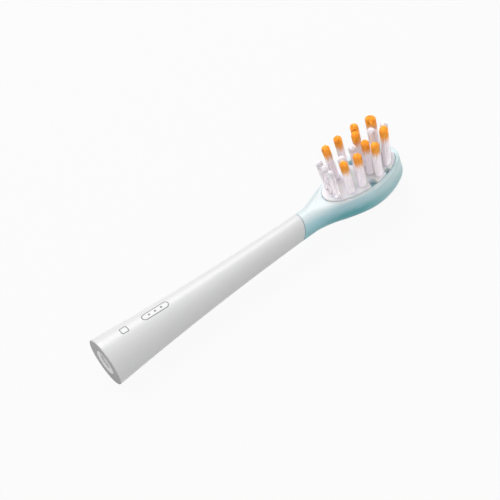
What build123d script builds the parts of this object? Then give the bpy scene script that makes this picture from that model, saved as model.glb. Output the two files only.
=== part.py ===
from build123d import *
import os
from math import atan2, cos, degrees, hypot, pi, radians, sin, tan

# Push-on head of a sonic toothbrush.
# +X runs along the drive shaft from the open end to the toe, +Z is the way the bristles point,
# and the origin is the mouth of the shaft bore. Lengths are millimetres, angles are degrees.

# Whole brush head
overall_length = 81.4
head_reach = 28.5
neck_radius = 2.97
bond_clearance = 0.05

# Neck sleeve: hollow-ground taper from the open end to the seam
base_radius = 5.87
taper_hollow = 0.46
sleeve_wall = 1.10
base_edge = 0.25
seam_slant = 25.0
seam_edge = 0.10

# Shaft coupling in the wide end of the sleeve
coupling_length = 20.0
coupling_edge = 0.20
shaft_bore_radius = 1.75
shaft_bore_depth = 14.0
bore_lead_in = 0.25

# Bowed leaf clip beside the bore
clip_length = 11.0
clip_width = 1.9
clip_thickness = 0.25
clip_bow = 0.50
clip_bore_gap = 0.06
clip_mouth_inset = 0.6
clip_end_room = 0.6

# Shank of the brush head inside the sleeve
shank_radius = 1.80
shank_flat_height = 1.30
sleeve_web = 8.6
shank_end_room = 0.3
shank_end_chamfer = 0.3

# Brush head: round neck, flare and oval tray
neck_step = 0.06
neck_flat = 0.20
neck_run = 0.9
toe_length = 10.2
toe_radius = 4.4
head_half_width = 6.35
rim_height = 3.10
back_depth = 3.70
back_radius = 3.20
crown_height = 4.80
crown_radius = 1.20
crown_lead = 1.35
flare_steps = 6

# Pocket in the tray and the tuft plate in it
rim_width = 0.85
heel_length = 9.9
pocket_half_width = 5.10
pocket_depth = 1.30
plate_proud = 0.40
notch_lip_radius = 0.20

# Tufts
tipped_tuft_radius = 0.90
plain_tuft_radius = 0.74
tuft_clearance = 0.04
foot_room = 0.20
flute_count = 7
flute_depth = 0.10
tuft_crown_height = 0.55
tuft_crown_ratio = 0.62
splay_at_side = 5.0
toe_tuft_stretch = 1.3

# Where the tufts stand: shares of the pocket's length ahead of its widest station (behind it where
# negative) and of its half width; then the height above the plate and the forward lean
heel_row_pitch = 0.382
heel_row = (-0.745, 8.6, -1.0)
tipped_pairs = {
    "rear_side_tuft": (-0.444, 0.590, 9.9, 0.0),
    "middle_side_tuft": (-0.141, 0.647, 9.9, 3.5),
    "inner_tuft": (0.214, 0.314, 9.9, 4.5),
    "front_side_tuft": (0.332, 0.686, 9.9, 5.0),
    "toe_tuft": (0.690, 0.422, 10.8, 8.5),
}
centre_tufts = {
    "rear_centre_tuft": (-0.333, 8.0, 2.0),
    "middle_centre_tuft": (-0.010, 9.0, 2.0),
    "front_centre_tuft": (0.567, 10.0, 3.2),
    "toe_centre_tuft": (0.856, 9.6, 8.0),
}

# Scallops in the plate's edge: the tufts behind and ahead; then, as shares of the distance between those,
# how far along it each one lies, how far out from it the scallop starts, and the scallop's radius
notches = [
    ("middle_side_tuft", "front_side_tuft", 0.470, 0.133, 0.189),
    ("front_side_tuft", "toe_tuft", 0.450, 0.277, 0.194),
]

# Stations and levels that follow from the sizes above
sleeve_length = overall_length - head_reach
seam_rise = neck_radius * tan(radians(seam_slant))
taper_length = sleeve_length - seam_rise
flare_start = sleeve_length + seam_rise + neck_run
widest_station = overall_length - toe_length
pocket_toe_length = toe_length - rim_width
pocket_floor = rim_height - pocket_depth
plate_top = rim_height + plate_proud
foot_depth = plate_top - pocket_floor - foot_room
socket_start = coupling_length + sleeve_web
shank_end = socket_start + shank_end_room
bottom_up = (Align.CENTER, Align.CENTER, Align.MIN)


def sleeve_radius(x):
    """Outer radius of the sleeve's taper at a station."""
    t = x / taper_length
    return base_radius + t * (neck_radius - base_radius) - taper_hollow * 4 * t * (1 - t)


def seam_plane():
    """Oblique plane in which the sleeve meets the brush head, further forward on the bristle side."""
    slant = radians(seam_slant)
    return Plane(origin=(sleeve_length, 0, 0), z_dir=(cos(slant), 0, -sin(slant)))


def shank(radius, flat_height, start):
    """Rod with one flat on its back, from a station to the neck."""
    keep = Pos(0, radius - flat_height) * Rectangle(4 * radius, 2 * radius)
    section = Circle(radius) & keep
    return extrude(Plane.YZ.offset(start) * section, flare_start - start)


def coupling_plug(clearance):
    """Straight plug that leaves the sleeve its wall at the inner end, less a clearance."""
    radius = sleeve_radius(coupling_length) - sleeve_wall - clearance
    return Plane.YZ * Cylinder(radius, coupling_length, align=bottom_up)


def make_sleeve():
    """White sleeve: turned taper with a slanted lip, a coupling cavity and a keyed shank socket."""
    middle = (taper_length / 2, sleeve_radius(taper_length / 2))
    taper = ThreePointArc((0, base_radius), middle, (taper_length, neck_radius))
    forward = sleeve_length + 2 * seam_rise
    tip = [(taper_length, neck_radius), (forward, neck_radius), (forward, 0)]
    rest = Polyline(*tip, (0, 0), (0, base_radius))
    body = revolve(make_face([taper, rest]), Axis.X)
    body = split(body, bisect_by=seam_plane(), keep=Keep.BOTTOM)
    body = chamfer(body.edges().sort_by(Axis.X)[0], base_edge)
    body = chamfer(body.edges().filter_by(GeomType.ELLIPSE), seam_edge)
    socket = shank(shank_radius + bond_clearance, shank_flat_height + bond_clearance, socket_start)
    return body - coupling_plug(0) - socket


def clip_slot_height():
    """Distance from the shaft axis to the roof of the clip's slot."""
    return shaft_bore_radius + clip_bore_gap + clip_thickness + clip_bow


def make_coupling():
    """Insert with the shaft bore and, on the bristle side, the clip's slot."""
    body = coupling_plug(bond_clearance)
    body = chamfer(body.edges().sort_by(Axis.X)[0], coupling_edge)
    bore = Plane.YZ * Cylinder(shaft_bore_radius, shaft_bore_depth, align=bottom_up)
    mouth_radius = shaft_bore_radius + bore_lead_in
    lead_in = Plane.YZ * Cone(mouth_radius, shaft_bore_radius, bore_lead_in, align=bottom_up)
    slot_length = clip_mouth_inset + clip_length + clip_end_room
    slot_width = clip_width + 2 * bond_clearance
    slot_align = (Align.MIN, Align.CENTER, Align.MIN)
    slot = Box(slot_length, slot_width, clip_slot_height(), align=slot_align)
    return body - bore - lead_in - slot


def make_clip():
    """Leaf bowed towards the shaft, with its ends against the roof of the slot."""
    roof = clip_slot_height()
    start = (clip_mouth_inset, roof)
    end = (clip_mouth_inset + clip_length, roof)
    middle = (clip_mouth_inset + clip_length / 2, roof - clip_bow)
    down = (0, -clip_thickness)
    outer = ThreePointArc(start, middle, end)
    inner = Pos(*down) * outer
    sides = [Line(outer @ 0, inner @ 0), Line(outer @ 1, inner @ 1)]
    leaf = make_face([outer, inner, *sides])
    return extrude(Plane.XZ * leaf, clip_width / 2, both=True)


def blend(t):
    """Smooth rise from 0 to 1 with level ends."""
    t = min(t, 1)
    return t * t * (3 - 2 * t)


def head_section(step):
    """Section of the head at a step of the flare: a near round that grows into a round-cornered tray."""
    t = step / flare_steps
    flare = blend(t)
    rise = blend(crown_lead * t)
    half_neck = neck_radius - neck_step
    round_corner = half_neck - neck_flat / 2
    width = half_neck + flare * (head_half_width - half_neck)
    back = half_neck + flare * (back_depth - half_neck)
    crown = half_neck + rise * (crown_height - half_neck)
    low = round_corner + flare * (back_radius - round_corner)
    high = round_corner + rise * (crown_radius - round_corner)
    corners = [(-width, -back), (width, -back), (width, crown), (-width, crown)]
    outline = FilletPolyline(*corners, radius=[low, low, high, high], close=True)
    station = flare_start + t * (widest_station - flare_start)
    return Plane.YZ.offset(station) * make_face(outline)


def make_toe():
    """Rounded toe end of the tray: a plan of three tangent arcs, with its lower edge rounded."""
    ahead = toe_length - toe_radius
    side_radius = (toe_length**2 - 2 * toe_length * toe_radius + head_half_width**2) / (
        2 * (head_half_width - toe_radius)
    )
    turn = degrees(atan2(ahead, side_radius - head_half_width))
    left = CenterArc((0, head_half_width - side_radius), side_radius, 90, -turn)
    tip = CenterArc((ahead, 0), toe_radius, 90 - turn, 2 * turn - 180)
    right = CenterArc((0, side_radius - head_half_width), side_radius, turn - 90, -turn)
    plan = make_face([left, tip, right, Line(right @ 1, left @ 0)])
    toe = extrude(Pos(widest_station, 0, -back_depth) * plan, back_depth + crown_height)
    lower_edge = toe.faces().sort_by(Axis.Z)[0].edges().filter_by(GeomType.CIRCLE)
    return fillet(lower_edge, back_radius)


def egg(inset):
    """Plan of the pocket: two half ellipses that meet at the widest station."""
    middle = (widest_station, 0)
    half_width = pocket_half_width - inset
    toe = EllipticalCenterArc(middle, pocket_toe_length - inset, half_width, -90, arc_size=180)
    heel = EllipticalCenterArc(middle, heel_length - inset, half_width, 90, arc_size=180)
    return make_face([toe, heel])


def make_head():
    """Tinted head: keyed shank, round neck cut to the seam, flare, and tray with its pocket."""
    sections = [head_section(step) for step in range(flare_steps + 1)]
    neck_back = sleeve_length - 2 * seam_rise
    neck = extrude(sections[0], flare_start - neck_back, dir=(-1, 0, 0))
    neck = split(neck, bisect_by=seam_plane(), keep=Keep.TOP)
    rod = shank(shank_radius, shank_flat_height, shank_end)
    rod = chamfer(rod.faces().sort_by(Axis.X)[0].edges(), shank_end_chamfer)
    body = neck + loft(sections) + make_toe() + rod
    above = Pos(flare_start, 0, rim_height) * Box(
        overall_length, 4 * head_half_width, crown_height, align=(Align.MIN, Align.CENTER, Align.MIN)
    )
    pocket = extrude(Pos(0, 0, pocket_floor) * egg(0), crown_height)
    return body - above - pocket


def tuft_seats():
    """Radius, stretch, shares along and across the pocket, height and lean of every tuft."""
    seats = {}
    ahead, height, lean = heel_row
    for side, aside in [("left", heel_row_pitch), ("centre", 0), ("right", -heel_row_pitch)]:
        seats[f"heel_tuft_{side}"] = (plain_tuft_radius, 1, ahead, aside, height, lean)
    for name, (ahead, aside, height, lean) in tipped_pairs.items():
        stretch = toe_tuft_stretch if name == "toe_tuft" else 1
        seats[f"{name}_left"] = (tipped_tuft_radius, stretch, ahead, aside, height, lean)
        seats[f"{name}_right"] = (tipped_tuft_radius, stretch, ahead, -aside, height, lean)
    for name, (ahead, height, lean) in centre_tufts.items():
        seats[name] = (plain_tuft_radius, 1, ahead, 0, height, lean)
    return seats


def pocket_reach(ahead):
    """Length of the pocket on the toe side or the heel side of its widest station."""
    return pocket_toe_length if ahead > 0 else heel_length


def pocket_point(ahead, aside):
    """Place in the pocket's plan from shares of its length and half width."""
    return widest_station + ahead * pocket_reach(ahead), aside * pocket_half_width


def rim_turn(ahead, aside):
    """Direction of the pocket's rim beside a place in it."""
    return degrees(atan2(-ahead / pocket_reach(ahead), aside / pocket_half_width))


def tuft_place(ahead, aside, lean):
    """Location of a tuft at the top of the plate: leant along the head, splayed out, turned to the rim."""
    x, y = pocket_point(ahead, aside)
    return Pos(x, y, plate_top) * Rot(-splay_at_side * aside, lean, 0) * Rot(0, 0, rim_turn(ahead, aside))


def fluted_face(radius, stretch, level):
    """Outline of a bundle of filaments, as shallow flutes on a circle or a stretched one."""
    points = []
    for i in range(2 * flute_count):
        reach = radius * (1 - flute_depth * (i % 2))
        angle = pi * i / flute_count
        points.append((stretch * reach * cos(angle), reach * sin(angle)))
    return Pos(0, 0, level) * Polygon(*points, align=None)


def make_tuft(radius, stretch, height):
    """Fluted bundle with a rounded end, and its foot near the floor of the pocket."""
    foot = fluted_face(radius, stretch, -foot_depth)
    shoulder = fluted_face(radius, stretch, height - tuft_crown_height)
    end = fluted_face(radius * tuft_crown_ratio, stretch, height)
    return loft([foot, shoulder, end], ruled=True)


def make_notches():
    """Plan of the scallops: round-ended slots that run out from the line of the side tufts."""
    cuts = []
    for rear, front, along, out, width in notches:
        x1, y1 = pocket_point(*tipped_pairs[rear][:2])
        x2, y2 = pocket_point(*tipped_pairs[front][:2])
        gap = hypot(x2 - x1, y2 - y1)
        radius = width * gap
        start = Pos(x1, y1) * Rot(0, 0, degrees(atan2(y2 - y1, x2 - x1))) * Pos(along * gap, out * gap)
        run = Pos(0, pocket_half_width / 2) * Rectangle(2 * radius, pocket_half_width)
        cut = start * (Circle(radius) + run)
        cuts += [cut, mirror(cut, Plane.XZ)]
    return cuts


def make_plate():
    """White plate in the pocket, scalloped in its toe half and drilled for the tufts."""
    rim = egg(bond_clearance)
    outline = rim
    for cut in make_notches():
        outline -= cut
    corners = []
    for vertex in outline.vertices():
        on_rim = min(edge.distance_to(vertex) for edge in rim.edges()) < 0.1 * bond_clearance
        apart = min(joint.distance_to(vertex) for joint in rim.vertices()) > 0.1 * bond_clearance
        if on_rim and apart:
            corners.append(vertex)
    outline = fillet(corners, notch_lip_radius)
    body = extrude(Pos(0, 0, pocket_floor) * outline, plate_top - pocket_floor)
    for radius, stretch, ahead, aside, height, lean in tuft_seats().values():
        hole = extrude(fluted_face(radius + tuft_clearance, stretch, -plate_top), 2 * plate_top)
        body -= tuft_place(ahead, aside, lean) * hole
    return body


def make_parts():
    """Every piece of the brush head by name."""
    parts = {
        "neck_sleeve": make_sleeve(),
        "brush_head": make_head(),
        "tuft_plate": make_plate(),
        "shaft_coupling": make_coupling(),
        "shaft_clip": make_clip(),
    }
    for name, (radius, stretch, ahead, aside, height, lean) in tuft_seats().items():
        parts[name] = tuft_place(ahead, aside, lean) * make_tuft(radius, stretch, height)
    return parts


os.makedirs("parts", exist_ok=True)
for name, shape in make_parts().items():
    export_step(shape, f"parts/{name}.step")
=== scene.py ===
import math
import random

import bmesh
import bpy
import numpy as np
from mathutils import Matrix, Vector


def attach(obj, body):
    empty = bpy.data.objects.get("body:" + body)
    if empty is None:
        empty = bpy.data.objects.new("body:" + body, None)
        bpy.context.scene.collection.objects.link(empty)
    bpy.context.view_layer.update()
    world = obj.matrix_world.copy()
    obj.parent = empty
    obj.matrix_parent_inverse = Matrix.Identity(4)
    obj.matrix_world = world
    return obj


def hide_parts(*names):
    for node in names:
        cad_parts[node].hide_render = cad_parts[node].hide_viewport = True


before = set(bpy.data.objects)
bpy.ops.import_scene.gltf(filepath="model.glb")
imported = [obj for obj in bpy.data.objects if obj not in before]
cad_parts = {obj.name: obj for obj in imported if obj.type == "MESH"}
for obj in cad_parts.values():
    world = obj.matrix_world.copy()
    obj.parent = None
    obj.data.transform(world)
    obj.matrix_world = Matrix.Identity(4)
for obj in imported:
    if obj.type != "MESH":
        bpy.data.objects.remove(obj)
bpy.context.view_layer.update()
MM = 0.001

# Sizes of the brush head in millimetres, as the solids have them
OVERALL_LENGTH = 81.4
HEAD_REACH = 28.5
TOE_LENGTH = 10.2
BASE_RADIUS = 5.87
NECK_RADIUS = 2.97
TAPER_HOLLOW = 0.46
SEAM_SLANT = math.radians(25)
PLUG_RADIUS = 3.207
PLUG_LENGTH = 20.0
SLEEVE_WEB = 8.6
SHANK_RADIUS = 1.80
BOND_GAP = 0.05
BORE_RADIUS = 1.75
BORE_DEPTH = 14.0
BORE_LEAD_IN = 0.25
CLIP_START = 0.6
CLIP_LENGTH = 11.0
CLIP_END_ROOM = 0.6
CLIP_WIDTH = 1.9
CLIP_THICKNESS = 0.25
CLIP_BOW = 0.50
CLIP_BORE_GAP = 0.06
HEEL_LENGTH = 9.9
POCKET_HALF_WIDTH = 5.10
BACK_DEPTH = 3.7

# Stations and sizes that follow from these
SLEEVE_LENGTH = OVERALL_LENGTH - HEAD_REACH
SEAM_RISE = NECK_RADIUS * math.tan(SEAM_SLANT)
TAPER_LENGTH = SLEEVE_LENGTH - SEAM_RISE
SOCKET_RADIUS = SHANK_RADIUS + BOND_GAP
SOCKET_START = PLUG_LENGTH + SLEEVE_WEB
CLIP_ROOF = BORE_RADIUS + CLIP_BORE_GAP + CLIP_BOW + CLIP_THICKNESS
SLOT_LENGTH = CLIP_START + CLIP_LENGTH + CLIP_END_ROOM
SLOT_WIDTH = CLIP_WIDTH + 2 * BOND_GAP
WIDEST_STATION = OVERALL_LENGTH - TOE_LENGTH

# Fine work on the moulded and steel pieces in millimetres, and the passes that ease a skin
LIP_ROUNDING = 0.30
MOUTH_ROUNDING = 0.25
COUPLING_ROUNDING = 0.2
CLIP_ROUNDING = 0.06
LIP_BAND = 0.2
RIM_BAND = 0.01
SLOT_OVERSHOOT = 1.0
CLIP_CLEARANCE = 0.01
TRAY_CELL = 0.16
TRAY_PASSES = 8
PLATE_CELL = 0.09
PLATE_PASSES = 3
HEEL_START = 55.6
HEEL_MARGIN = 0.7
HEEL_PASSES = 150
GROOVE_WIDTH = 0.45
GROOVE_DEPTH = 0.20
SHANK_MARGIN = 0.3
BUMP_DEPTH = 0.02

# Print on the sleeve in millimetres, with fades as shares of a line's width and a dot's radius
SQUARE_STATION = 6.9
SQUARE_HALF = 0.84
SQUARE_CORNER = 0.26
SQUARE_LINE = 0.26
CAPSULE_STATION = 15.1
CAPSULE_HALF_LENGTH = 3.40
CAPSULE_HALF_WIDTH = 0.88
CAPSULE_LINE = 0.24
DOT_PITCH = 1.6
DOT_RADIUS = 0.28
LINE_FADE = (0.35, 0.65)
DOT_FADE = (0.85, 1.15)
PRINT_SIDE_RISE = (0.0, 0.5)

# Where the tray's tints, painted light and painted shade rise and fall, in millimetres along X or up Z
# The edge of the pocket is a share of its outline
WALL_TINT_AND_LIGHT_HEIGHT = 7.0
TOE_RISE = (64.0, 78.0)
WAIST_RISE = (56.0, 63.0)
WAIST_FALL = (64.0, 75.5)
NECK_FALL = (57.0, 63.0)
NECK_TOP_RISE = (1.4, 2.9)
BACK_FALL = (-0.7, 2.0)
SEAM_SHADE_FALL = (0.10, 0.30)
POCKET_TINT_TOE = 8.95
POCKET_EDGE_FALL = (0.96, 1.02)
POCKET_WALL_RISE = (0.5, 1.2)
POCKET_WALL_FALL = (2.0, 2.6)

# Where the bristles' painted tip shade and dye rise and fall, in millimetres below a tip
TIP_PAINTED_SHADE_RISE = (0.2, 2.5)
DYE_FALL = (1.2, 3.8)
DYE_UNEVENNESS = 1.3

# Filaments in millimetres. Rings are shares of a filament's height and radius, and a spread is the share
# by which a tuft widens from its foot to its tips
FILAMENT_SEED = 7
FILAMENT_RADIUS = 0.09
FILAMENT_SIDES = 6
FILAMENT_RINGS = ((0.5, 1.0), (0.985, 1.0), (0.996, 0.72))
FILAMENT_PACKING = 0.98
FILAMENT_LEAN = 0.06
FILAMENT_BOW = 0.05
TIP_REACH = 0.06
TIP_CROWN = 0.62
TIP_UNEVENNESS = 0.12
GOLDEN_ANGLE = math.pi * (3 - math.sqrt(5))
ANGLE_JITTER = 0.12
TUFT_RING = 14
RING_SPREAD = 2.2
HEEL_SPREAD = 0.06
CENTRE_SPREAD = 0.25
TIPPED_SPREAD = 0.08

# Cuts and steps of the turned pieces, and angles in degrees above which an edge stays sharp
TAPER_CUTS = 40
SLEEVE_STEPS = 128
COUPLING_STEPS = 96
SHARP = 40.0
COUPLING_SHARP = 30.0
CLIP_SHARP = 50.0
FILAMENT_SHARP = 80.0

# Distances in millimetres below which two places count as one
CUT_TOLERANCE = 1e-5
WELD_TOLERANCE = 1e-4
FACET_TOLERANCE = 1e-3

# Studio: sizes and places in millimetres, and the camera's directions
MIDDLE_STATION = 40.0
FLOOR_HALF_SIZE = 3000.0
FLOOR_GAP = 0.02
CAMERA_AIM = (39.45, -3.43, 7.09)
CAMERA_RIGHT = (0.7995, -0.5517, -0.2377)
CAMERA_BACK = (-0.2284, -0.6451, 0.7292)
CAMERA_DISTANCE = 700.0
CAMERA_LENS = 229.8
CAMERA_SENSOR = 36.0


class Value:
    """A shader socket that takes part in sums, so that a mask reads as an expression."""

    def __init__(self, finish, socket):
        self.finish = finish
        self.socket = socket

    def math(self, operation, first, second=0.0):
        return self.finish.add("ShaderNodeMath", {"operation": operation}, {0: first, 1: second})

    def __add__(self, other):
        return self.math("ADD", self, other)

    def __radd__(self, other):
        return self.math("ADD", other, self)

    def __sub__(self, other):
        return self.math("SUBTRACT", self, other)

    def __rsub__(self, other):
        return self.math("SUBTRACT", other, self)

    def __mul__(self, other):
        return self.math("MULTIPLY", self, other)

    def __rmul__(self, other):
        return self.math("MULTIPLY", other, self)

    def __pow__(self, other):
        return self.math("POWER", self, other)

    def __abs__(self):
        return self.math("ABSOLUTE", self)

    def at_least(self, other):
        return self.math("MAXIMUM", self, other)

    def at_most(self, other):
        return self.math("MINIMUM", self, other)

    def rise(self, start, end):
        """Smooth rise from 0 at start to 1 at end."""
        settings = {"interpolation_type": "SMOOTHSTEP"}
        inputs = {"Value": self, "From Min": start, "From Max": end}
        return self.finish.add("ShaderNodeMapRange", settings, inputs)

    def fall(self, start, end):
        """Smooth fall from 1 at start to 0 at end."""
        return 1 - self.rise(start, end)


class Finish:
    """A material with one Principled shader, and the nodes that feed it."""

    def __init__(self, name, **constants):
        self.material = bpy.data.materials.new(name)
        self.material.use_nodes = True
        self.tree = self.material.node_tree
        self.shader = self.tree.nodes["Principled BSDF"]
        self.feed(**constants)

    def add(self, kind, settings, inputs, output=0):
        """A node of any kind: its settings first, then the values or links of its sockets."""
        node = self.tree.nodes.new(kind)
        for key, setting in settings.items():
            setattr(node, key, setting)
        for key, value in inputs.items():
            self.join(node.inputs[key], value)
        return Value(self, node.outputs[output])

    def join(self, socket, value):
        """Links a value to a socket, or sets a constant on it."""
        if isinstance(value, Value):
            self.tree.links.new(value.socket, socket)
        else:
            socket.default_value = value

    def feed(self, **inputs):
        """Values or links of the Principled shader's sockets, with underscores for spaces."""
        for key, value in inputs.items():
            self.join(self.shader.inputs[key.replace("_", " ")], value)

    def place(self):
        """Object coordinates in millimetres."""
        coords = self.add("ShaderNodeTexCoord", {}, {}, "Object")
        return self.add("ShaderNodeVectorMath", {"operation": "SCALE"}, {0: coords, "Scale": 1 / MM})

    def parts(self, coords):
        """The three parts of a place."""
        return [self.add("ShaderNodeSeparateXYZ", {}, {0: coords}, axis) for axis in "XYZ"]

    def stretch(self, coords, scale):
        """Coordinates scaled along each axis, which draws a texture out into streaks."""
        return self.add("ShaderNodeMapping", {}, {"Vector": coords, "Scale": scale})

    def attribute(self, name):
        """A value that the mesh keeps at each vertex."""
        return self.add("ShaderNodeAttribute", {"attribute_name": name}, {}, "Fac")

    def noise(self, coords, scale, detail, roughness=0.5):
        """Cloudy texture with a scale per millimetre."""
        inputs = {"Vector": coords, "Scale": scale, "Detail": detail, "Roughness": roughness}
        return self.add("ShaderNodeTexNoise", {}, inputs, "Fac")

    def mix(self, factor, first, second):
        """Colour between two colours."""
        inputs = {0: factor}
        for key, colour in ((6, first), (7, second)):
            inputs[key] = colour if isinstance(colour, Value) else (*colour, 1.0)
        return self.add("ShaderNodeMix", {"data_type": "RGBA"}, inputs, 2)

    def ramp(self, factor, stops):
        """Colour along a ramp of places and colours."""
        node = self.tree.nodes.new("ShaderNodeValToRGB")
        elements = node.color_ramp.elements
        while len(elements) < len(stops):
            elements.new(1.0)
        for element, (place, colour) in zip(elements, stops):
            element.position = place
            element.color = (*colour, 1.0)
        self.join(node.inputs[0], factor)
        return Value(self, node.outputs["Color"])

    def bump(self, height, strength):
        """Fine relief of the surface."""
        inputs = {"Height": height, "Strength": strength, "Distance": BUMP_DEPTH * MM}
        self.feed(Normal=self.add("ShaderNodeBump", {}, inputs, "Normal"))


def outline_mask(along, across, half_length, half_width, corner, line):
    """1 on the line of a round-cornered rectangle about the middle of the two coordinates."""
    over_length = abs(along) - (half_length - corner)
    over_width = abs(across) - (half_width - corner)
    outside = (over_length.at_least(0.0) ** 2.0 + over_width.at_least(0.0) ** 2.0) ** 0.5
    inside = over_length.at_least(over_width).at_most(0.0)
    off = abs(outside + inside - corner)
    return off.fall(*(share * line for share in LINE_FADE))


def dot_mask(along, across, radius):
    """1 on a round dot about the middle of the two coordinates."""
    off = (along ** 2.0 + across ** 2.0) ** 0.5
    return off.fall(*(share * radius for share in DOT_FADE))


def sleeve_print(x, y, z):
    """1 on the print: a square outline, and a capsule outline with three dots, on the bristle side."""
    square = outline_mask(x - SQUARE_STATION, y, SQUARE_HALF, SQUARE_HALF, SQUARE_CORNER, SQUARE_LINE)
    past_capsule = x - CAPSULE_STATION
    capsule = outline_mask(
        past_capsule, y, CAPSULE_HALF_LENGTH, CAPSULE_HALF_WIDTH, CAPSULE_HALF_WIDTH, CAPSULE_LINE
    )
    marks = square + capsule
    for shift in (-DOT_PITCH, 0.0, DOT_PITCH):
        marks = marks + dot_mask(past_capsule - shift, y, DOT_RADIUS)
    return marks.at_most(1.0) * z.rise(*PRINT_SIDE_RISE)


def sleeve_finish():
    """Satin white moulding with grey print, and a matt end face whose darker grey is painted shade."""
    dim_white = (0.68, 0.68, 0.69)
    bright_white = (0.72, 0.72, 0.725)
    # The end face's darker grey is painted shade, for a face turned away from the lamps.
    end_face_painted_shade = (0.54, 0.54, 0.545)
    ink = (0.10, 0.10, 0.105)
    finish = Finish("satin_white_sleeve", IOR=1.49, Coat_Roughness=0.36)
    coords = finish.place()
    x, y, z = finish.parts(coords)
    grain = finish.noise(coords, scale=7.0, detail=4.0)
    cloud = finish.noise(coords, scale=0.12, detail=2.0)
    marks = sleeve_print(x, y, z)
    end_face = x.fall(0.0, MOUTH_ROUNDING)
    body = finish.mix(end_face, finish.mix(cloud, dim_white, bright_white), end_face_painted_shade)
    finish.feed(
        Base_Color=finish.mix(marks * 0.92, body, ink),
        Roughness=0.36 + 0.10 * grain + 0.12 * marks + 0.45 * end_face,
        Coat_Weight=0.70 - 0.70 * end_face,
    )
    finish.bump(grain + 0.4 * marks, strength=0.12)
    return finish.material


def pocket_mask(x, y):
    """1 inside the egg-shaped outline of the tray's pocket."""
    ahead = x - WIDEST_STATION
    along = ahead.at_least(0.0) * (1 / POCKET_TINT_TOE) + ahead.at_most(0.0) * (1 / HEEL_LENGTH)
    across = y * (1 / POCKET_HALF_WIDTH)
    return ((along ** 2.0 + across ** 2.0) ** 0.5).fall(*POCKET_EDGE_FALL)


def tray_finish():
    """Glossy translucent blue-green moulding: pale at the rim and the neck, deep in the tray's back. The
    pale top and deep back are partly the plastic's own tint and partly painted light and shade; the paler
    toe and neck top are painted light, the seam line is painted shade, and the pocket's deeper teal is
    partly painted shade.
    """
    # Paler up the wall and darker down it: partly the plastic's own tint, partly painted light and shade.
    wall_tints_and_light = [
        (0.10, (0.30, 0.60, 0.63)),
        (0.45, (0.44, 0.77, 0.83)),
        (0.75, (0.54, 0.81, 0.88)),
        (0.91, (0.60, 0.83, 0.90)),
        (0.97, (0.94, 0.985, 0.99)),
    ]
    # Paler towards the toe: painted light.
    toe_painted_light = (0.77, 0.965, 0.985)
    # Paler on the neck's top, where the lamps fall: painted light.
    neck_top_painted_light = (0.93, 0.98, 0.985)
    # Deeper teal in the pocket: partly the plastic's own tint, partly painted shade in the recess.
    pocket_tint_and_shade = (0.42, 0.74, 0.78)
    # Deep teal towards the bottom: partly the thicker plastic's own tint, partly painted shade.
    deep_tint_and_shade = (0.10, 0.49, 0.54)
    # Dark line along the seam: painted shade in the groove there.
    seam_shade_tint = (0.10, 0.15, 0.16)
    finish = Finish("translucent_blue_green_tray", IOR=1.45, Transmission_Weight=0.22)
    finish.feed(Specular_IOR_Level=0.3, Coat_Weight=0.25, Coat_Roughness=0.16)
    coords = finish.place()
    x, y, z = finish.parts(coords)
    cloud = finish.noise(coords, scale=0.25, detail=2.0)
    drift = finish.noise(coords, scale=0.55, detail=2.0)
    grain = finish.noise(coords, scale=5.0, detail=3.0)
    toe = x.rise(*TOE_RISE)
    neck_top = x.fall(*NECK_FALL) * z.rise(*NECK_TOP_RISE)
    pocket_wall = pocket_mask(x, y) * z.rise(*POCKET_WALL_RISE) * z.fall(*POCKET_WALL_FALL)
    low = (z + 0.6 * (cloud - 0.5) + 0.9 * (drift - 0.5)).fall(*BACK_FALL)
    waist = x.rise(*WAIST_RISE) * (1 - 0.85 * x.rise(*WAIST_FALL))
    past_seam = (x - SLEEVE_LENGTH) * math.cos(SEAM_SLANT) - z * math.sin(SEAM_SLANT)
    seam_shade = past_seam.fall(*SEAM_SHADE_FALL)
    wall = finish.ramp((z + BACK_DEPTH) * (1 / WALL_TINT_AND_LIGHT_HEIGHT), wall_tints_and_light)
    flank = finish.mix(toe * 0.88, wall, toe_painted_light)
    skin = finish.mix(neck_top * 0.8, flank, neck_top_painted_light)
    tinted = finish.mix(pocket_wall, skin, pocket_tint_and_shade)
    whole = finish.mix(low * (0.30 + 0.70 * waist), tinted, deep_tint_and_shade)
    finish.feed(
        Base_Color=finish.mix(seam_shade * 0.72, whole, seam_shade_tint),
        Roughness=0.26 + 0.10 * grain + 0.30 * seam_shade,
    )
    finish.bump(grain, strength=0.08)
    return finish.material


def plate_finish():
    """Smooth white plate with a faint, cloudy lilac cast."""
    lilac = (0.89, 0.86, 0.90)
    white = (0.94, 0.92, 0.945)
    finish = Finish("white_tuft_plate", IOR=1.49, Subsurface_Weight=0.4, Subsurface_Scale=0.8 * MM)
    coords = finish.place()
    cloud = finish.noise(coords, scale=0.5, detail=3.0)
    grain = finish.noise(coords, scale=6.0, detail=3.0)
    finish.feed(Base_Color=finish.mix(cloud, lilac, white), Roughness=0.28 + 0.14 * grain)
    finish.bump(grain, strength=0.10)
    return finish.material


def coupling_finish():
    """Matt white insert, scuffed a little at the mouth of the bore."""
    white = (0.92, 0.92, 0.92)
    worn = (0.76, 0.76, 0.76)
    scuff_reach = 1.2
    finish = Finish("matt_white_coupling", IOR=1.49)
    coords = finish.place()
    x = finish.parts(coords)[0]
    grain = finish.noise(coords, scale=5.0, detail=4.0)
    patches = finish.noise(coords, scale=1.6, detail=5.0, roughness=0.7).rise(0.55, 0.75)
    scuff = patches * x.fall(0.0, scuff_reach)
    finish.feed(Base_Color=finish.mix(scuff * 0.25, white, worn), Roughness=0.38 + 0.16 * grain)
    finish.bump(grain, strength=0.15)
    return finish.material


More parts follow.
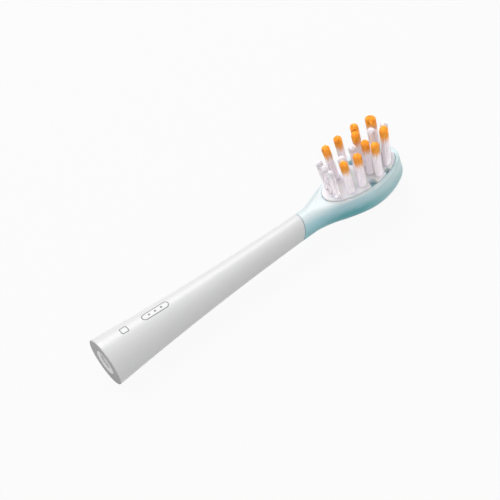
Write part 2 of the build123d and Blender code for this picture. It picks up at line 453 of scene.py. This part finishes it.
def clip_finish():
    """Plain spring steel, drawn along the leaf."""
    dark_steel = (0.42, 0.42, 0.43)
    light_steel = (0.62, 0.62, 0.63)
    along_leaf = (0.35, 9.0, 2.0)
    finish = Finish("plain_spring_steel", Metallic=1.0)
    drawn = finish.noise(finish.stretch(finish.place(), along_leaf), scale=1.6, detail=5.0)
    finish.feed(Base_Color=finish.mix(drawn, dark_steel, light_steel), Roughness=0.22 + 0.16 * drawn)
    finish.bump(drawn, strength=0.12)
    return finish.material


def bristle_finish(name, dyed):
    """Milky filaments, darker at their tips with painted shade; dyed ones fade into orange towards their
    tips.
    """
    # Darker at the tips, where most light falls: painted shade.
    tip_painted_shade = (0.76, 0.75, 0.775)
    lilac_shaft = (0.955, 0.89, 0.935)
    white_shaft = (0.975, 0.95, 0.965)
    deep_orange = (0.84, 0.33, 0.016)
    light_orange = (0.90, 0.46, 0.055)
    along_filament = (3.0, 3.0, 0.25)
    finish = Finish(name, IOR=1.53, Coat_Weight=0.10, Coat_Roughness=0.40)
    finish.shader.subsurface_method = "BURLEY"
    finish.feed(Subsurface_Weight=0.70, Subsurface_Scale=0.5 * MM, Subsurface_Radius=(1.0, 0.9, 0.95))
    grain = finish.noise(finish.stretch(finish.place(), along_filament), scale=1.5, detail=3.0)
    tone = 0.55 * finish.attribute("strand") + 0.45 * grain
    below_tip = finish.attribute("below_tip")
    shaft = finish.mix(tone, lilac_shaft, white_shaft)
    colour = finish.mix(below_tip.rise(*TIP_PAINTED_SHADE_RISE), tip_painted_shade, shaft)
    if dyed:
        fade = (below_tip + DYE_UNEVENNESS * (tone - 0.5)).fall(*DYE_FALL)
        colour = finish.mix(fade, colour, finish.mix(tone, deep_orange, light_orange))
    finish.feed(Base_Color=colour, Roughness=0.46 + 0.14 * grain)
    finish.bump(grain, strength=0.10)
    return finish.material


def white_to_eye(tree):
    """Socket that is 1 for what the camera sees, directly, in a gloss or through a clear piece."""
    rays = tree.nodes.new("ShaderNodeLightPath")
    seen = rays.outputs["Is Camera Ray"]
    for other in ("Is Glossy Ray", "Is Transmission Ray"):
        either = tree.nodes.new("ShaderNodeMath")
        either.operation = "MAXIMUM"
        tree.links.new(seen, either.inputs[0])
        tree.links.new(rays.outputs[other], either.inputs[1])
        seen = either.outputs[0]
    return seen


def floor_finish():
    """Pale floor that the camera sees as white, with the object's soft shadow kept."""
    grey = 0.48
    white_share = 0.93
    material = bpy.data.materials.new("pale_studio_floor")
    material.use_nodes = True
    tree = material.node_tree
    tree.nodes.clear()
    diffuse = tree.nodes.new("ShaderNodeBsdfDiffuse")
    diffuse.inputs["Color"].default_value = (grey, grey, grey, 1.0)
    glow = tree.nodes.new("ShaderNodeEmission")
    glow.inputs["Color"].default_value = (1.0, 1.0, 1.0, 1.0)
    glow.inputs["Strength"].default_value = 1.0
    share = tree.nodes.new("ShaderNodeMath")
    share.operation = "MULTIPLY"
    share.inputs[1].default_value = white_share
    tree.links.new(white_to_eye(tree), share.inputs[0])
    both = tree.nodes.new("ShaderNodeMixShader")
    tree.links.new(share.outputs[0], both.inputs[0])
    tree.links.new(diffuse.outputs[0], both.inputs[1])
    tree.links.new(glow.outputs[0], both.inputs[2])
    result = tree.nodes.new("ShaderNodeOutputMaterial")
    tree.links.new(both.outputs[0], result.inputs["Surface"])
    return material


def link_object(name, data):
    """An object of the scene from its mesh, lamp or camera."""
    item = bpy.data.objects.new(name, data)
    bpy.context.scene.collection.objects.link(item)
    return item


def mesh_from(name, bm):
    """Mesh of a bmesh, which is freed."""
    mesh = bpy.data.meshes.new(name)
    bm.to_mesh(mesh)
    bm.free()
    return mesh


def dress(mesh, material):
    """Scales a mesh from millimetres and gives it one material and smooth faces."""
    mesh.transform(Matrix.Scale(MM, 4))
    mesh.materials.clear()
    mesh.materials.append(material)
    mesh.polygons.foreach_set("use_smooth", [True] * len(mesh.polygons))


def link_piece(name, bm, material, sharp=SHARP):
    """An object from a bmesh in millimetres, smooth but for its sharp edges."""
    mesh = mesh_from(name, bm)
    dress(mesh, material)
    mesh.set_sharp_from_angle(angle=math.radians(sharp))
    return link_object(name, mesh)


def settle(piece):
    """Applies a piece's modifiers to its mesh."""
    bpy.context.view_layer.update()
    graph = bpy.context.evaluated_depsgraph_get()
    mesh = bpy.data.meshes.new_from_object(piece.evaluated_get(graph))
    piece.modifiers.clear()
    piece.data = mesh


def stand_for(piece, node):
    """Rides a piece on the one body, in the place of its node."""
    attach(piece, "root")
    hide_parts(node)


def verts_of(geom):
    """Vertices among what an operator gives back."""
    return [item for item in geom if isinstance(item, bmesh.types.BMVert)]


def edges_of(geom):
    """Edges among what an operator gives back."""
    return [item for item in geom if isinstance(item, bmesh.types.BMEdge)]


def off_axis(vertex):
    """Distance of a vertex from the shaft axis."""
    return math.hypot(vertex.co.y, vertex.co.z)


def draw_profile(points):
    """Bmesh of a closed profile of (x, radius) points above the X axis, open along the axis."""
    bm = bmesh.new()
    rail = [bm.verts.new((x, 0, radius)) for x, radius in points]
    for first, second in zip(rail, rail[1:] + rail[:1]):
        if first.co.z or second.co.z:
            bm.edges.new((first, second))
    return bm


def turn_round(bm, steps):
    """Spins what the bmesh holds once round the X axis and closes it."""
    bmesh.ops.spin(
        bm,
        geom=bm.verts[:] + bm.edges[:],
        cent=(0, 0, 0),
        axis=(1, 0, 0),
        angle=2 * math.pi,
        steps=steps,
        use_merge=True,
    )
    bmesh.ops.remove_doubles(bm, verts=bm.verts[:], dist=WELD_TOLERANCE)
    bmesh.ops.recalc_face_normals(bm, faces=bm.faces[:])


def end_rim(bm, radius):
    """Edges of the open end that lie on a circle of a radius or outside it."""
    return [
        edge
        for edge in bm.edges
        if all(v.co.x < WELD_TOLERANCE and off_axis(v) > radius - RIM_BAND for v in edge.verts)
    ]


def round_edges(bm, edges, width, segments):
    """Rounds edges over a width."""
    bmesh.ops.bevel(
        bm,
        geom=edges,
        offset=width,
        offset_type="OFFSET",
        affect="EDGES",
        segments=segments,
        profile=0.5,
        material=-1,
        clamp_overlap=True,
    )


def sleeve_radius(x):
    """Outer radius of the sleeve's hollow taper."""
    t = min(x / TAPER_LENGTH, 1.0)
    return BASE_RADIUS + t * (NECK_RADIUS - BASE_RADIUS) - TAPER_HOLLOW * 4 * t * (1 - t)


def make_sleeve(material):
    """Tapered sleeve with its coupling cavity, socket bore and slanted, rounded lip."""
    forward = SLEEVE_LENGTH + 2 * SEAM_RISE
    points = [
        (0, BASE_RADIUS),
        (TAPER_LENGTH, NECK_RADIUS),
        (forward, NECK_RADIUS),
        (forward, SOCKET_RADIUS),
        (SOCKET_START, SOCKET_RADIUS),
        (SOCKET_START, 0),
        (PLUG_LENGTH, 0),
        (PLUG_LENGTH, PLUG_RADIUS),
        (0, PLUG_RADIUS),
    ]
    bm = draw_profile(points)
    taper = [e for e in bm.edges if {round(v.co.z, 3) for v in e.verts} == {BASE_RADIUS, NECK_RADIUS}]
    added = bmesh.ops.subdivide_edges(bm, edges=taper, cuts=TAPER_CUTS)["geom_inner"]
    for vertex in verts_of(added):
        vertex.co.z = sleeve_radius(vertex.co.x)
    turn_round(bm, SLEEVE_STEPS)
    cut = bmesh.ops.bisect_plane(
        bm,
        geom=bm.verts[:] + bm.edges[:] + bm.faces[:],
        dist=CUT_TOLERANCE,
        plane_co=(SLEEVE_LENGTH, 0, 0),
        plane_no=(math.cos(SEAM_SLANT), 0, -math.sin(SEAM_SLANT)),
        clear_outer=True,
    )
    rims = edges_of(cut["geom_cut"])
    bmesh.ops.bridge_loops(bm, edges=rims)
    lip = [e for e in rims if e.is_valid and all(off_axis(v) > NECK_RADIUS - LIP_BAND for v in e.verts)]
    round_edges(bm, lip, LIP_ROUNDING, segments=5)
    round_edges(bm, end_rim(bm, BASE_RADIUS), MOUTH_ROUNDING, segments=4)
    bmesh.ops.recalc_face_normals(bm, faces=bm.faces[:])
    piece = link_piece("sleeve_shell", bm, material)
    stand_for(piece, "neck_sleeve")


def slot_tool(material):
    """Block that takes up the clip's slot and reaches out of the open end."""
    bm = bmesh.new()
    size = (SLOT_LENGTH + SLOT_OVERSHOOT, SLOT_WIDTH, CLIP_ROOF)
    middle = ((SLOT_LENGTH - SLOT_OVERSHOOT) / 2, 0, CLIP_ROOF / 2)
    bmesh.ops.create_cube(bm, size=1.0)
    bmesh.ops.scale(bm, verts=bm.verts[:], vec=size)
    bmesh.ops.translate(bm, verts=bm.verts[:], vec=middle)
    return link_piece("clip_slot_tool", bm, material)


def make_coupling(material):
    """Insert with the shaft bore and the clip's slot above it."""
    radius = PLUG_RADIUS - BOND_GAP
    points = [
        (0, BORE_RADIUS + BORE_LEAD_IN),
        (BORE_LEAD_IN, BORE_RADIUS),
        (BORE_DEPTH, BORE_RADIUS),
        (BORE_DEPTH, 0),
        (PLUG_LENGTH, 0),
        (PLUG_LENGTH, radius),
        (0, radius),
    ]
    bm = draw_profile(points)
    turn_round(bm, COUPLING_STEPS)
    round_edges(bm, end_rim(bm, radius), COUPLING_ROUNDING, segments=3)
    piece = link_piece("coupling_insert", bm, material, COUPLING_SHARP)
    slot = slot_tool(material)
    carve = piece.modifiers.new("clip_slot", "BOOLEAN")
    carve.operation = "DIFFERENCE"
    carve.solver = "EXACT"
    carve.object = slot
    settle(piece)
    bpy.data.objects.remove(slot)
    piece.data.set_sharp_from_angle(angle=math.radians(COUPLING_SHARP))
    stand_for(piece, "shaft_coupling")


def make_clip(material):
    """Bowed steel leaf with eased edges."""
    rim_angle = math.radians(57.3)
    bm = bmesh.new()
    bmesh.ops.create_grid(bm, x_segments=28, y_segments=4, size=0.5)
    bmesh.ops.scale(bm, verts=bm.verts[:], vec=(CLIP_LENGTH, CLIP_WIDTH, 1))
    for vertex in bm.verts:
        share = 2 * vertex.co.x / CLIP_LENGTH
        vertex.co.z = CLIP_ROOF - CLIP_CLEARANCE - CLIP_BOW * (1 - share * share)
    bmesh.ops.translate(bm, verts=bm.verts[:], vec=(CLIP_START + CLIP_LENGTH / 2, 0, 0))
    bmesh.ops.solidify(bm, geom=bm.faces[:], thickness=CLIP_THICKNESS)
    bmesh.ops.recalc_face_normals(bm, faces=bm.faces[:])
    rims = [e for e in bm.edges if len(e.link_faces) == 2 and e.calc_face_angle() > rim_angle]
    round_edges(bm, rims, CLIP_ROUNDING, segments=2)
    piece = link_piece("clip_leaf", bm, material, CLIP_SHARP)
    stand_for(piece, "shaft_clip")


def moulded_copy(name, node, material, cell, passes):
    """Soft-edged skin of a node: a merged copy, remade in small cells and eased."""
    bm = bmesh.new()
    bm.from_mesh(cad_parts[node].data)
    bmesh.ops.scale(bm, verts=bm.verts[:], vec=(1 / MM, 1 / MM, 1 / MM))
    bmesh.ops.remove_doubles(bm, verts=bm.verts[:], dist=FACET_TOLERANCE)
    piece = link_object(name, mesh_from(name, bm))
    cells = piece.modifiers.new("cells", "REMESH")
    cells.mode = "VOXEL"
    cells.voxel_size = cell
    ease = piece.modifiers.new("ease", "SMOOTH")
    ease.factor = 0.5
    ease.iterations = passes
    settle(piece)
    dress(piece.data, material)
    stand_for(piece, node)
    return piece


def seam_distance(place):
    """How far a place is ahead of the slanted seam between the sleeve and the tinted head."""
    return (place.x - SLEEVE_LENGTH) * math.cos(SEAM_SLANT) - place.z * math.sin(SEAM_SLANT)


def in_heel(place):
    """Whether a place, in metres, is on the flare, clear of the seam and of the pocket's edge."""
    ahead = (place.x / MM - WIDEST_STATION) / (HEEL_LENGTH + HEEL_MARGIN)
    aside = place.y / MM / (POCKET_HALF_WIDTH + HEEL_MARGIN)
    return place.x > HEEL_START * MM and ahead < 0 and math.hypot(ahead, aside) > 1


def ease_heel(bm):
    """Eases the flare between the neck and the pocket into one soft surface."""
    soft = [v for v in bm.verts if in_heel(v.co)]
    for _ in range(HEEL_PASSES):
        bmesh.ops.smooth_vert(bm, verts=soft, factor=0.5, use_axis_x=True, use_axis_y=True, use_axis_z=True)


def cut_groove(bm):
    """Draws the skin in beside the slanted seam, which leaves a fine groove there."""
    for vertex in bm.verts:
        ahead = seam_distance(vertex.co / MM)
        radius = off_axis(vertex) / MM
        if 0 <= ahead < GROOVE_WIDTH and radius > SOCKET_RADIUS + SHANK_MARGIN:
            depth = GROOVE_DEPTH * (1 - ahead / GROOVE_WIDTH) ** 2
            vertex.co.yz = vertex.co.yz * (1 - depth / radius)


def make_tray(material):
    """Tinted head with a soft heel and a groove at its seam."""
    piece = moulded_copy("tray_moulding", "brush_head", material, TRAY_CELL, TRAY_PASSES)
    bm = bmesh.new()
    bm.from_mesh(piece.data)
    ease_heel(bm)
    cut_groove(bm)
    bm.to_mesh(piece.data)
    bm.free()


def make_plate(material):
    """Scalloped plate with soft edges."""
    moulded_copy("plate_moulding", "tuft_plate", material, PLATE_CELL, PLATE_PASSES)


def filament_mesh():
    """One filament of unit height and unit radius, straight with a rounded tip."""
    bm = bmesh.new()
    bmesh.ops.create_circle(bm, segments=FILAMENT_SIDES, radius=1.0)
    edges = bm.edges[:]
    for height, radius in FILAMENT_RINGS:
        made = bmesh.ops.extrude_edge_only(bm, edges=edges)["geom"]
        edges = edges_of(made)
        for vertex in verts_of(made):
            flat = Vector((vertex.co.x, vertex.co.y, 0)).normalized() * radius
            vertex.co = (flat.x, flat.y, height)
    tip = bmesh.ops.extrude_edge_only(bm, edges=edges)["geom"]
    for vertex in verts_of(tip):
        vertex.co = (0, 0, 1)
    bmesh.ops.remove_doubles(bm, verts=bm.verts[:], dist=WELD_TOLERANCE)
    foot = [e for e in bm.edges if e.is_boundary]
    bmesh.ops.holes_fill(bm, edges=foot, sides=FILAMENT_SIDES)
    bmesh.ops.recalc_face_normals(bm, faces=bm.faces[:])
    return mesh_from("filament", bm)


def tuft_rings(node):
    """Foot centre, tip centre, long and short half axes of a tuft, read from its solid."""
    corners = {tuple(round(c / MM, 3) for c in v.co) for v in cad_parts[node].data.vertices}
    points = np.array(sorted(corners, key=lambda p: p[2]))
    foot = points[:TUFT_RING]
    tip = points[-TUFT_RING:]
    low = foot.mean(axis=0)
    values, vectors = np.linalg.eigh(np.cov((foot - low).T))
    long_axis = Vector(vectors[:, 2]) * math.sqrt(RING_SPREAD * values[2])
    short_axis = Vector(vectors[:, 1]) * math.sqrt(RING_SPREAD * values[1])
    return Vector(low), Vector(tip.mean(axis=0)), long_axis, short_axis


def sideways(rng, most):
    """A random step across the bristles, as far as most along each axis."""
    return Vector((rng.uniform(-most, most), rng.uniform(-most, most), 0))


def make_tuft(node, material, spread, proto, rng):
    """Bundle of filaments about the form of a tuft's solid, with uneven rounded ends."""
    low, high, long_axis, short_axis = tuft_rings(node)
    axis = high - low
    length = axis.length
    turn = axis.to_track_quat("Z", "Y").to_matrix().to_4x4()
    radius = math.sqrt(long_axis.length * short_axis.length)
    inner = 1 - FILAMENT_RADIUS / radius
    count = round(FILAMENT_PACKING * (radius * (1 + spread) / FILAMENT_RADIUS) ** 2)
    bm = bmesh.new()
    below = bm.verts.layers.float.new("below_tip")
    strand = bm.verts.layers.float.new("strand")
    for i in range(count):
        share = math.sqrt((i + 0.5) / count)
        angle = i * GOLDEN_ANGLE + rng.uniform(-ANGLE_JITTER, ANGLE_JITTER)
        offset = (long_axis * math.cos(angle) + short_axis * math.sin(angle)) * share * inner
        height = length + TIP_REACH - TIP_CROWN * share ** 3 - rng.uniform(0.0, TIP_UNEVENNESS)
        lean = sideways(rng, FILAMENT_LEAN) + spread * offset
        bow = sideways(rng, FILAMENT_BOW)
        tone = rng.random()
        start = len(bm.verts)
        bm.from_mesh(proto)
        bm.verts.ensure_lookup_table()
        made = bm.verts[start:]
        for vertex in made:
            rise = vertex.co.z
            vertex[below] = (1 - rise) * height
            vertex[strand] = tone
            vertex.co = (vertex.co.x * FILAMENT_RADIUS, vertex.co.y * FILAMENT_RADIUS, rise * height)
        bmesh.ops.transform(bm, matrix=turn, verts=made)
        for vertex in made:
            rise = 1 - vertex[below] / height
            vertex.co += low + offset + lean * rise * rise + bow * 4 * rise * (1 - rise)
    piece = link_piece(node.replace("tuft", "bristles"), bm, material, FILAMENT_SHARP)
    stand_for(piece, node)


def make_tufts(plain, dyed):
    """All the tufts: white ones at the heel and on the centre line, and the others with orange tips."""
    proto = filament_mesh()
    rng = random.Random(FILAMENT_SEED)
    for node in sorted(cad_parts):
        if node.startswith("heel"):
            make_tuft(node, plain, HEEL_SPREAD, proto, rng)
        elif node.endswith("_centre_tuft"):
            make_tuft(node, plain, CENTRE_SPREAD, proto, rng)
        elif "tuft" in node and node != "tuft_plate":
            make_tuft(node, dyed, TIPPED_SPREAD, proto, rng)


def make_floor():
    """Pale floor under the brush head."""
    bm = bmesh.new()
    bmesh.ops.create_grid(bm, x_segments=2, y_segments=2, size=FLOOR_HALF_SIZE)
    bmesh.ops.translate(bm, verts=bm.verts[:], vec=(MIDDLE_STATION, 0, -BASE_RADIUS - FLOOR_GAP))
    link_piece("studio_floor", bm, floor_finish())


def make_light(name, direction, distance, size, power):
    """Soft square lamp that shines on the middle of the brush head; lengths are in metres."""
    data = bpy.data.lights.new(name, "AREA")
    data.size = size
    data.energy = power
    lamp = link_object(name, data)
    towards = Vector(direction).normalized()
    lamp.location = Vector((MIDDLE_STATION, 0, 0)) * MM + towards * distance
    lamp.rotation_euler = towards.to_track_quat("Z", "Y").to_euler()


def make_world():
    """Soft light all round, weaker from behind the open end, and seen as white."""
    room_light = {"From Min": -0.9, "From Max": 1.0, "To Min": 0.26, "To Max": 1.02}
    world = bpy.data.worlds.new("soft_studio")
    bpy.context.scene.world = world
    world.use_nodes = True
    tree = world.node_tree
    back = tree.nodes["Background"]
    back.inputs["Color"].default_value = (1.0, 1.0, 1.0, 1.0)
    coords = tree.nodes.new("ShaderNodeTexCoord")
    parts = tree.nodes.new("ShaderNodeSeparateXYZ")
    tree.links.new(coords.outputs["Generated"], parts.inputs[0])
    room = tree.nodes.new("ShaderNodeMapRange")
    for key, value in room_light.items():
        room.inputs[key].default_value = value
    tree.links.new(parts.outputs["X"], room.inputs["Value"])
    level = tree.nodes.new("ShaderNodeMix")
    tree.links.new(white_to_eye(tree), level.inputs[0])
    tree.links.new(room.outputs[0], level.inputs[2])
    level.inputs[3].default_value = 1.0
    tree.links.new(level.outputs[0], back.inputs["Strength"])


def make_camera():
    """Camera at the photograph's angle: from the right, above and behind the open end."""
    back = Vector(CAMERA_BACK).normalized()
    up = back.cross(Vector(CAMERA_RIGHT).normalized()).normalized()
    right = up.cross(back)
    data = bpy.data.cameras.new("camera")
    data.sensor_width = CAMERA_SENSOR
    data.lens = CAMERA_LENS
    data.clip_start = 0.01
    data.clip_end = 50.0
    camera = link_object("camera", data)
    place = Vector(CAMERA_AIM) * MM + back * (CAMERA_DISTANCE * MM)
    camera.matrix_world = Matrix.Translation(place) @ Matrix((right, up, back)).transposed().to_4x4()
    bpy.context.scene.camera = camera


make_sleeve(sleeve_finish())
make_coupling(coupling_finish())
make_clip(clip_finish())
make_tray(tray_finish())
make_plate(plate_finish())
dyed_bristles = bristle_finish("orange_tipped_bristles", True)
plain_bristles = bristle_finish("milky_white_bristles", False)
make_tufts(plain_bristles, dyed_bristles)

make_floor()
make_light("key_light", direction=(0.06, 0.60, 0.80), distance=0.60, size=0.36, power=1.85)
make_light("left_light", direction=(-0.74, -0.36, 0.57), distance=0.70, size=0.40, power=0.8)
make_light("fill_light", direction=(-0.24, -0.93, 0.26), distance=0.80, size=0.60, power=0.6)
make_world()
make_camera()
bpy.context.scene.view_settings.view_transform = "Standard"
